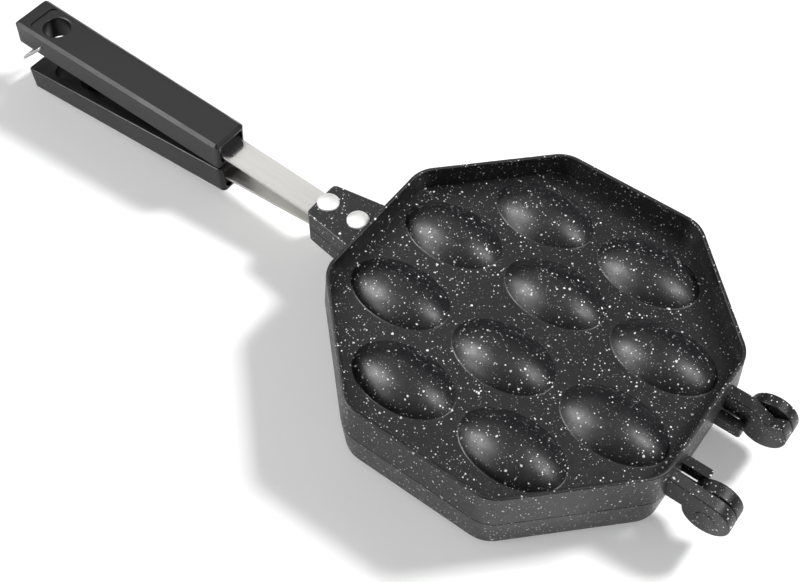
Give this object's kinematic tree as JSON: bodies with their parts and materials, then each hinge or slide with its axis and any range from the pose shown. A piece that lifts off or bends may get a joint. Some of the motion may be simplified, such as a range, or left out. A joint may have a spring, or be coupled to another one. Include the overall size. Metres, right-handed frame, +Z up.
{
  "type": "egg waffle pan",
  "caption": "Octagonal hinged cast pan with egg-shaped moulds, a strap handle with a plastic grip on each half and a wire bail at the grips' end.",
  "frame": {"origin": "middle of the whole pan's box, on the plane that the lowest point touches", "axes": "+X from the grips to the hinge, +Y across the pan, +Z up, the tray with the moving half on top"},
  "size_m": [0.4724, 0.1932, 0.0518],
  "materials": {
    "stone_coating": "cast aluminium with a semi-gloss black coating and pale specks",
    "coated_pin": "steel pin, coated black at its head",
    "strap_steel": "brushed stainless strip",
    "rivet_metal": "smooth bright rivet",
    "grip_phenolic": "satin black phenolic",
    "collar_plastic": "matt black",
    "insert_brass": "machined brass",
    "screw_steel": "plated steel",
    "wire_steel": "drawn steel wire"
  },
  "bodies": {
    "lower_half": {"lower_pan": "stone_coating", "lower_hinge_pin": "coated_pin", "lower_strap": "strap_steel", "lower_outer_rivet": "rivet_metal", "lower_inner_rivet": "rivet_metal", "lower_grip": "grip_phenolic", "lower_grip_collar": "collar_plastic", "lower_grip_front_insert": "insert_brass", "lower_grip_front_screw": "screw_steel", "lower_grip_rear_insert": "insert_brass", "lower_grip_rear_screw": "screw_steel"},
    "upper_half": {"upper_pan": "stone_coating", "upper_hinge_pin": "coated_pin", "upper_strap": "strap_steel", "upper_outer_rivet": "rivet_metal", "upper_inner_rivet": "rivet_metal", "upper_grip": "grip_phenolic", "upper_grip_collar": "collar_plastic", "upper_grip_front_insert": "insert_brass", "upper_grip_front_screw": "screw_steel", "upper_grip_rear_insert": "insert_brass", "upper_grip_rear_screw": "screw_steel"},
    "bail": {"wire_bail": "wire_steel"}
  },
  "joints": [
    {"name": "lid_hinge", "type": "hinge", "parent": "lower_half", "child": "upper_half", "pos_m": [0.22439, 0, 0.02588], "axis": [0, 1, 0], "range_deg": [0, 180]},
    {"name": "bail_pivot", "type": "hinge", "parent": "upper_half", "child": "bail", "pos_m": [-0.21601, 0, 0.04198], "axis": [0, 1, 0], "range_deg": [-27, 200]}
  ]
}
